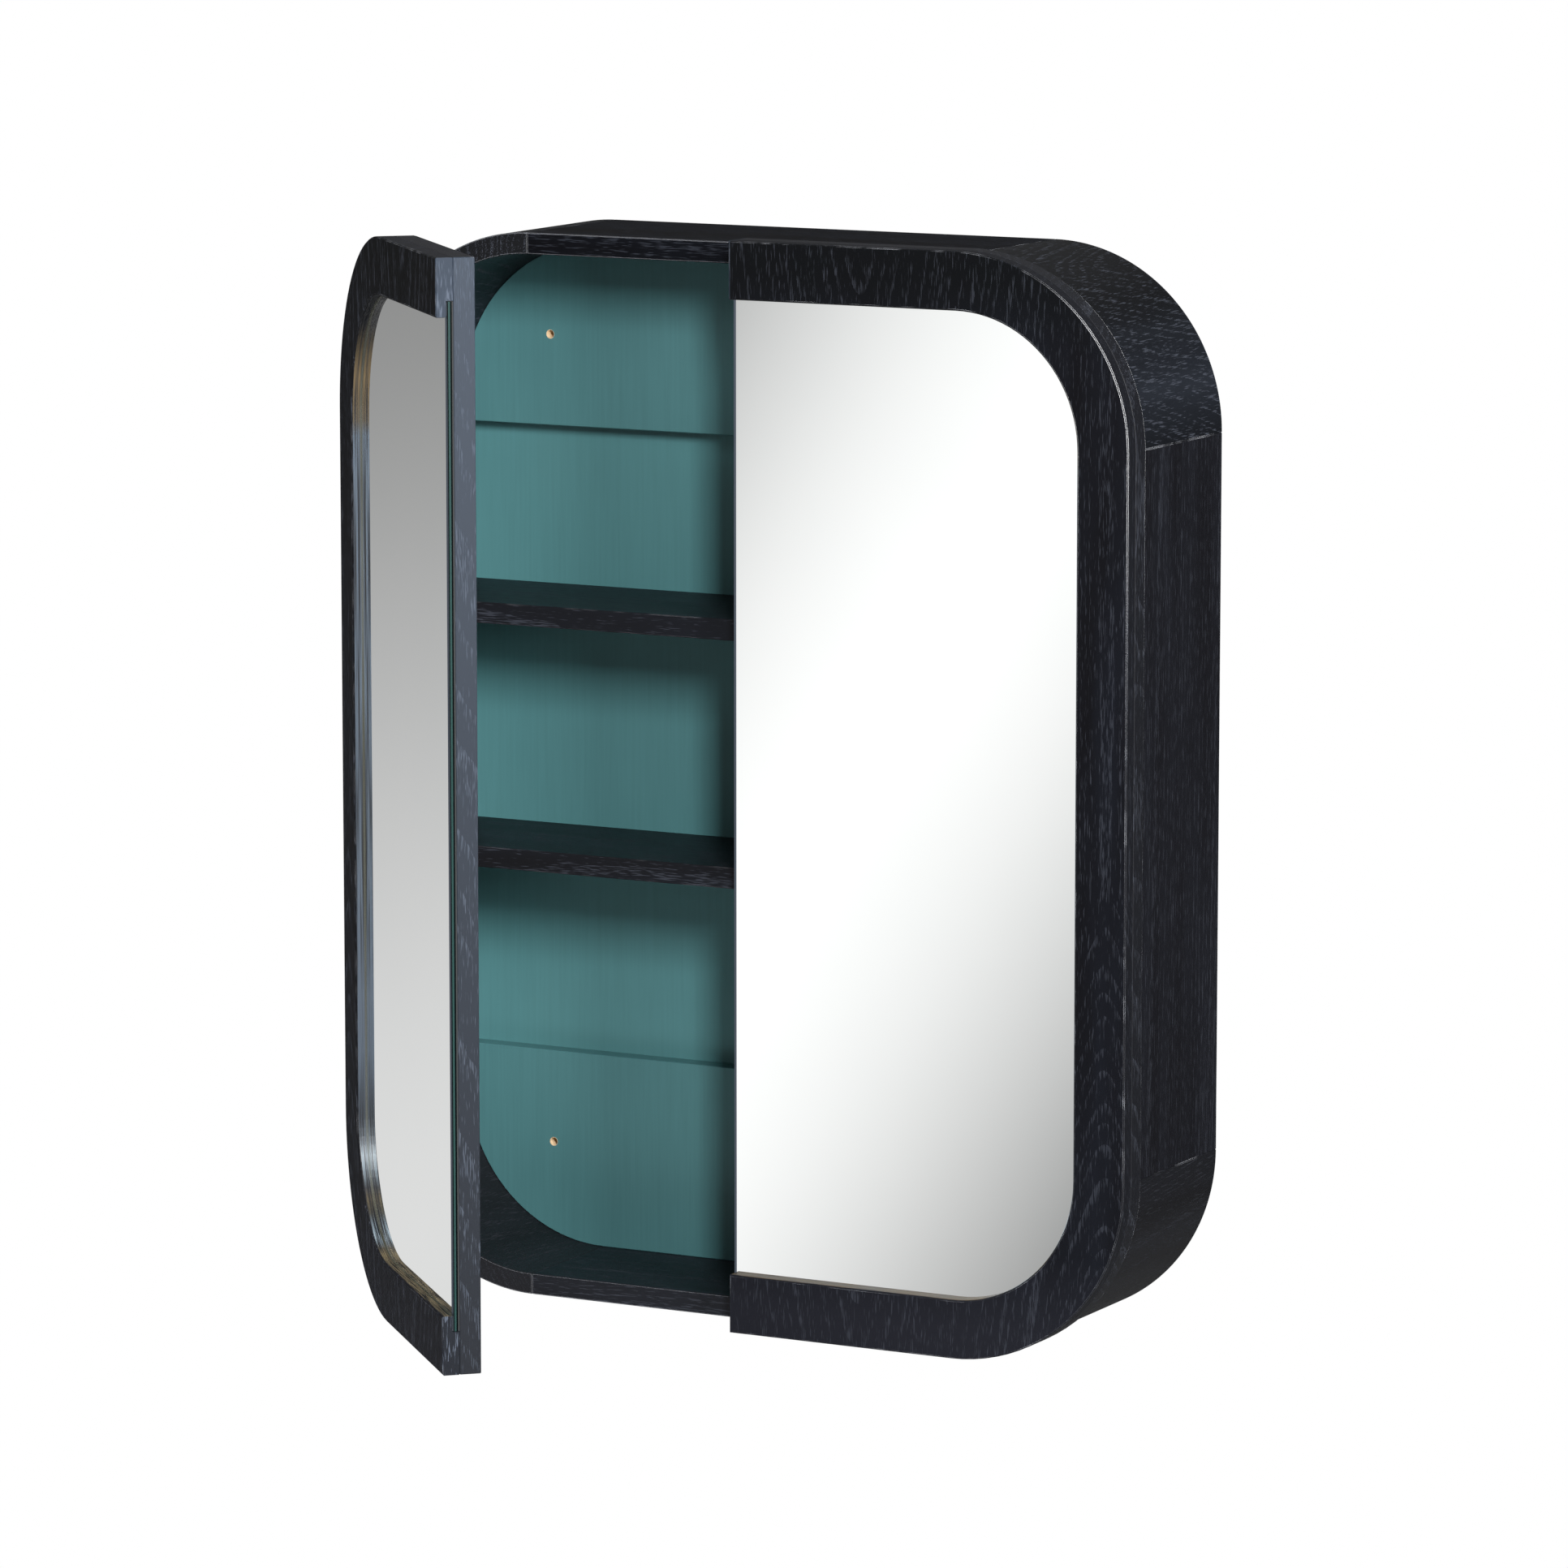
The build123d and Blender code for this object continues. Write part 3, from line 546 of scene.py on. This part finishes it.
def edge_band(name, side, outer, inner, material):
    """A strip 6 mm deep between two lines, closed all round."""
    points = []
    faces = []
    for (out_x, out_z), (in_x, in_z) in zip(outer, inner):
        for y in (-149.05 * MM, -154.9 * MM):
            points += [(out_x, y, out_z), (in_x, y, in_z)]
    for at in range(0, len(points) - 4, 4):
        for a, b in ((0, 1), (1, 3), (3, 2), (2, 0)):
            faces.append((at + a, at + b, at + 4 + b, at + 4 + a))
    faces += [(2, 3, 1, 0), tuple(len(points) - 4 + n for n in (0, 1, 3, 2))]
    band = door_piece(name, side, points, faces)
    band.data.materials.append(material)


start, joint = 2 * MM, 34 * MM
outer = window_line(-0.05 * MM, joint)
inner = window_line(-0.35 * MM, joint)
# The left door's foot tints are paler: a painted highlight along its foot
for side, swing, foot in (
    ("left", OPEN, ("#5f5541", "#75684b")),
    ("right", 0.0, ("#44392a", "#54462e")),
):
    edging = lip_edging_painted_light("lip_edging_painted_light_" + side, swing, foot)
    edge_band("_edge_band", side, outer, inner, edging)
    for end, at in (("_edge_band_foot", 0), ("_edge_band_head", -1)):
        short = [[(start, line[at][1]), (joint, line[at][1])] for line in (outer, inner)]
        if end == "_edge_band_head":
            short = [list(reversed(line)) for line in short]
        edge_band(end, side, *short, edging)


# Mirrors and their backing
# Silvered 4 mm float glass, its edge ground to a narrow bevel, let into the rebate behind the frame
# on a thin board. A clean reflection with a trace of green, and a bare edge that is green between
# two arrises painted nearly black, a painted shade.
silvered, tree, shader = new_material("silvered_glass", Metallic=1.0)
breath = mottle(tree, shader, 6.0, 4.0, ("#f3f5f4", "#f8f9f8"))
haze = {"Value": breath, "From Min": 0.3, "From Max": 0.8, "To Min": 0.004, "To Max": 0.02}
tree.links.new(add(tree, "MapRange", haze).outputs["Result"], shader.inputs["Roughness"])

edge_glass = []
for name, dark, light, silvered_share, gloss in (
    ("cut_glass_edge", "#1b3432", "#253e3c", 0.0, 0.08),
    # Painted shade: the arrises are nearly black
    ("seamed_arris_painted_shade", "#010304", "#020708", 0.0, 0.02),
    ("ground_silvered_bevel", "#4a515b", "#5d6570", 1.0, 0.12),
):
    material, tree, shader = new_material(
        name, IOR=1.52, Metallic=silvered_share, Specular_IOR_Level=gloss
    )
    grit = mottle(tree, shader, 1 / (0.7 * MM), 3.0, (dark, light))
    dull = add(tree, "MapRange", {"Value": grit, "To Min": 0.2, "To Max": 0.45}).outputs["Result"]
    tree.links.new(dull, shader.inputs["Roughness"])
    edge_glass.append(material)

face_look, cut_look, arris_look, bevel_look = range(4)
rebate = 10.5 * MM
bevel = 2.2 * MM
meet = 1.5 * MM
rows = []
for depth, inset in ((145, 0), (146.1, 0), (147.5, 0), (148.2, 0), (149, bevel)):
    line = window_line(rebate - inset, meet + inset)
    rows.append([(x, -depth * MM, z) for x, z in line])
count = len(rows[0])
points = [point for row in rows for point in row]
faces = [tuple(reversed(range(len(points) - count, len(points)))), tuple(range(count))]
looks = [face_look, arris_look]
for row, look in enumerate((arris_look, cut_look, arris_look, bevel_look)):
    row *= count
    for at in range(count):
        to = (at + 1) % count
        faces.append((row + to, row + at, row + count + at, row + count + to))
        looks.append(look)
for side in ("left", "right"):
    pane = door_piece("_mirror_pane", side, points, faces)
    for material in (silvered, *edge_glass):
        pane.data.materials.append(material)
    for face, look in zip(pane.data.polygons, looks):
        face.material_index = look
    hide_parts(side + "_mirror")

# The open door keeps out of reflections, so the shut mirror stays as clear as it hangs in a room
for name in (
    "left_door_frame", "left_door_back", "left_mirror_backing", "left_frame_screws",
    "left_cup_screws", "left_bumpers", "left_upper_hinge_cup", "left_lower_hinge_cup",
):
    piece[name].visible_glossy = False
bpy.data.objects["left_mirror_pane"].visible_glossy = False

backing, tree, shader = new_material("dark_backing_board", Roughness=0.75)
mottle(tree, shader, 1 / (2 * MM), 3.0, ("#101214", "#1c1f21"))
finish(backing, "left_mirror_backing", "right_mirror_backing")


# Hinge bushes and bumpers
# White nylon spacers keep each arm in the middle of its pin, and two clear soft domes on each door
# back meet the carcass. Nylon is waxy and even; the bumpers are cloudy clear plastic.
nylon, tree, shader = new_material("turned_nylon", Roughness=0.45)
mottle(tree, shader, 1 / (0.5 * MM), 2.0, ("#dedad0", "#ece9e0"))
finish(nylon, "left_hinge_bushes", "right_hinge_bushes")

soft_clear, tree, shader = new_material("clear_polyurethane", IOR=1.49, Transmission_Weight=0.7)
cloudy = mottle(tree, shader, 1 / (2 * MM), 2.0, ("#d9dcd8", "#eef0ec"))
dull = add(tree, "MapRange", {"Value": cloudy, "To Min": 0.2, "To Max": 0.4}).outputs["Result"]
tree.links.new(dull, shader.inputs["Roughness"])
finish(soft_clear, "left_bumpers", "right_bumpers")


# Camera
# Stands 5.5 m off to the right and a little above, with a long lens.
scene = bpy.context.scene
camera = bpy.data.objects.new("camera", bpy.data.cameras.new("camera"))
scene.collection.objects.link(camera)
camera.location = (2.5904, -4.9380, 0.8423)
camera.rotation_euler = (math.pi / 2 - 0.15262, 0, 0.48920)
camera.data.sensor_width = 36.0
focal_pixels, frame_pixels = 9828.7, 1932
camera.data.lens = focal_pixels / frame_pixels * camera.data.sensor_width
scene.camera = camera
scene.view_settings.view_transform = "Standard"


# Floor, world and lamps
# A pale floor well below the hanging cabinet, white all round, a tall soft lamp by the camera, a
# second one to its right and a weak one on the left. Cards that only reflections see shade the
# mirrors.
def stage_card(name, corners, material):
    """A flat sheet of the stage through four corners."""
    mesh = bpy.data.meshes.new(name)
    mesh.from_pydata(corners, [], [(0, 1, 2, 3)])
    mesh.materials.append(material)
    card = bpy.data.objects.new(name, mesh)
    scene.collection.objects.link(card)
    return card


pale, tree, shader = new_material("pale_floor", Roughness=0.8)
mottle(tree, shader, 3.0, 2.0, ("#f0f0f0", "#f4f4f4"))
stage_card("floor", [(-2, -2, -1.2), (2, -2, -1.2), (2, 1.6, -1.2), (-2, 1.6, -1.2)], pale)


def reflected_card(name, corners, slope, near, away, far, least=0.0, clear=None):
    """A card that only reflections see: its strength is near along a line and away at distance far.

    slope has the direction across that line and then an offset, which give the distance from it.
    Nowhere is the card dimmer than least. clear has a place in X and the two distances from it
    between which the card goes to the white of its surroundings.
    """
    material = bpy.data.materials.new(name)
    material.use_nodes = True
    tree = material.node_tree
    tree.nodes.clear()
    place = add(tree, "TexCoord").outputs["Object"]
    off = {0: place, 1: slope[:3]}
    off = add(tree, "VectorMath", off, operation="DOT_PRODUCT").outputs["Value"]
    off = add(tree, "Math", {0: off, 1: slope[3]}, operation="ADD").outputs["Value"]
    off = add(tree, "Math", {0: off}, operation="ABSOLUTE").outputs["Value"]
    power = {"Value": off, "From Min": 0.0, "From Max": far, "To Min": near, "To Max": away}
    power = add(tree, "MapRange", power, interpolation_type="SMOOTHSTEP").outputs["Result"]
    power = add(tree, "Math", {0: power, 1: least}, operation="MAXIMUM").outputs["Value"]
    if clear:
        fade = add(tree, "SeparateXYZ", {"Vector": place}).outputs["X"]
        fade = add(tree, "Math", {0: fade, 1: clear[0]}, operation="SUBTRACT").outputs["Value"]
        fade = add(tree, "Math", {0: fade}, operation="ABSOLUTE").outputs["Value"]
        fade = {"Value": fade, "From Min": clear[1], "From Max": clear[2]}
        fade = add(tree, "MapRange", fade, interpolation_type="SMOOTHSTEP").outputs["Result"]
        power = add(tree, "Mix", {0: fade, 2: power, 3: 1.0}, data_type="FLOAT").outputs[0]
    glow = add(tree, "Emission", {"Strength": power}).outputs["Emission"]
    add(tree, "OutputMaterial", {"Surface": glow})
    card = stage_card(name, corners, material)
    card.visible_camera = False
    card.visible_diffuse = False
    card.visible_transmission = False
    card.visible_shadow = False


reflected_card(
    "right_mirror_card",
    [(-2.8, -2.2, -1.15), (1.8, -2.2, -1.15), (1.8, -2.2, 1.6), (-2.8, -2.2, 1.6)],
    (0.848, 0.0, -0.530, 0.650), 1.12, 0.0, 0.72, 0.38, (-0.92, 0.5, 1.7),
)
reflected_card(
    "left_mirror_card",
    [(-3.12, 1.6, -1.19), (-2.86, 1.6, -1.19), (-2.86, 1.6, 0.10), (-3.12, 1.6, 0.10)],
    (0.0, 0.0, 1.0, 1.05), 0.76, 0.27, 1.25,
)
reflected_card(
    "rear_flag",
    [(-3.6, 2.4, -3.5), (1.6, 2.4, -3.5), (1.6, 2.4, 2.3), (-3.6, 2.4, 2.3)],
    (0.0, 0.0, 0.0, 0.0), 0.06, 0.06, 1.0,
)
reflected_card(
    "rear_left_flag",
    [(-7.0, -1.2, -3.5), (-3.6, 2.4, -3.5), (-3.6, 2.4, 2.6), (-7.0, -1.2, 2.6)],
    (1.0, 0.0, 0.0, 3.6), 0.03, 0.3, 3.4,
)
reflected_card(
    "low_flag",
    [(-0.2, -1.0, -1.19), (3.0, -1.0, -1.19), (3.0, 2.2, -1.19), (-0.2, 2.2, -1.19)],
    (0.0, 1.0, 0.0, 1.0), 1.0, 0.2, 1.2,
)
reflected_card(
    "rear_right_flag",
    [(1.6, 2.4, -1.19), (4.2, -0.2, -1.19), (4.2, -0.2, 2.3), (1.6, 2.4, 2.3)],
    (0.0, 0.0, 0.0, 0.0), 0.06, 0.06, 1.0,
)

world = bpy.data.worlds.new("white_studio")
scene.world = world
world.use_nodes = True
tree = world.node_tree
tree.nodes.clear()
rays = add(tree, "LightPath").outputs
seen = {0: rays["Is Camera Ray"], 1: rays["Is Glossy Ray"]}
seen = add(tree, "Math", seen, operation="MAXIMUM").outputs["Value"]
seen = {0: seen, 1: rays["Is Transmission Ray"]}
seen = add(tree, "Math", seen, operation="MAXIMUM").outputs["Value"]
power = add(tree, "MapRange", {"Value": seen, "To Min": 0.22, "To Max": 1.0}).outputs["Result"]
sky = add(tree, "Background", {"Color": (1, 1, 1, 1), "Strength": power}).outputs["Background"]
add(tree, "OutputWorld", {"Surface": sky})


def lamp(name, place, aim, width, height, watts):
    """A soft rectangular lamp that points from place to aim."""
    light = bpy.data.lights.new(name, "AREA")
    light.shape = "RECTANGLE"
    light.size = width
    light.size_y = height
    light.energy = watts
    body = bpy.data.objects.new(name, light)
    scene.collection.objects.link(body)
    body.location = place
    reach = [to - at for at, to in zip(place, aim)]
    body.rotation_euler = (
        math.atan2(math.hypot(reach[0], reach[1]), -reach[2]), 0, math.atan2(-reach[0], reach[1])
    )


lamp("main_lamp", (2.2, -3.3, 1.75), (0, -0.1, 0), 0.5, 1.0, 183)
lamp("right_lamp", (2.3, -1.5, 0.75), (-0.1, -0.3, 0.2), 0.6, 0.9, 76)
lamp("left_lamp", (-2.0, -2.4, 1.8), (0, -0.1, 0), 1.2, 1.2, 36)
